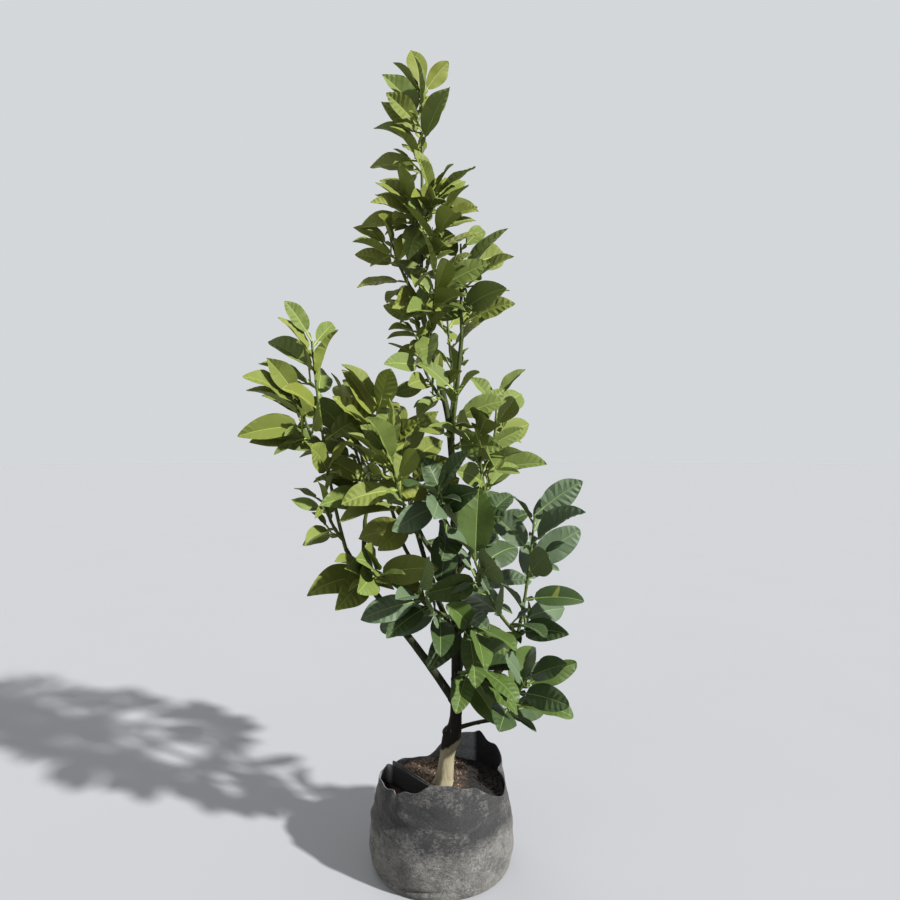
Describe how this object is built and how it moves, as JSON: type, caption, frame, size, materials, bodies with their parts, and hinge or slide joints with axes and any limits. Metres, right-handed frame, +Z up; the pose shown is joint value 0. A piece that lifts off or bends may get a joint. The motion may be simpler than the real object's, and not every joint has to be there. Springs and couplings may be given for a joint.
{
  "type": "potted pomelo tree",
  "caption": "Young grafted pomelo tree with a slim, leafy, upright crown on a short trunk, standing in a soft grey felt grow bag filled with soil.",
  "frame": {"origin": "the middle of the bag's flat underside, on the ground", "axes": "+Z up along the tree, -Y towards the viewer of the picture, +X to that viewer's right"},
  "size_m": [0.5599, 0.4435, 1.4104],
  "materials": {
    "bark": "dark green-brown bark, tan and smoother below the graft",
    "foliage": "glossy leathery leaves on green shoots",
    "felt": "dusty grey non-woven felt, black inside",
    "soil": "crumbly brown potting soil"
  },
  "bodies": {
    "root": {"grow_bag": "felt", "soil": "soil", "trunk": "bark", "left_bough": "bark", "left_outer_limb": "bark", "left_inner_limb": "bark", "mid_left_bough": "bark", "mid_left_limb": "bark", "right_bough": "bark", "right_low_bough": "bark", "right_upper_bough": "bark", "right_leader": "bark", "back_low_bough": "bark", "back_mid_bough": "bark", "back_right_bough": "bark", "back_upper_bough": "bark", "foliage_leader_top": "foliage", "foliage_leader_side": "foliage", "foliage_leader_front": "foliage", "foliage_upper_left": "foliage", "foliage_side_left": "foliage", "foliage_right_top": "foliage", "foliage_mid_upper_left": "foliage", "foliage_mid_upper_right": "foliage", "foliage_left_outer": "foliage", "foliage_left_inner": "foliage", "foliage_mid_left_front": "foliage", "foliage_mid_left_back": "foliage", "foliage_lower_left": "foliage", "foliage_right_outer": "foliage", "foliage_right_low": "foliage", "foliage_right_mid": "foliage", "foliage_front_mid": "foliage", "foliage_front_low": "foliage", "foliage_front_right": "foliage", "foliage_low_centre": "foliage", "foliage_back_low": "foliage", "foliage_back_mid": "foliage", "foliage_back_right": "foliage", "foliage_back_upper": "foliage"}
  },
  "joints": []
}
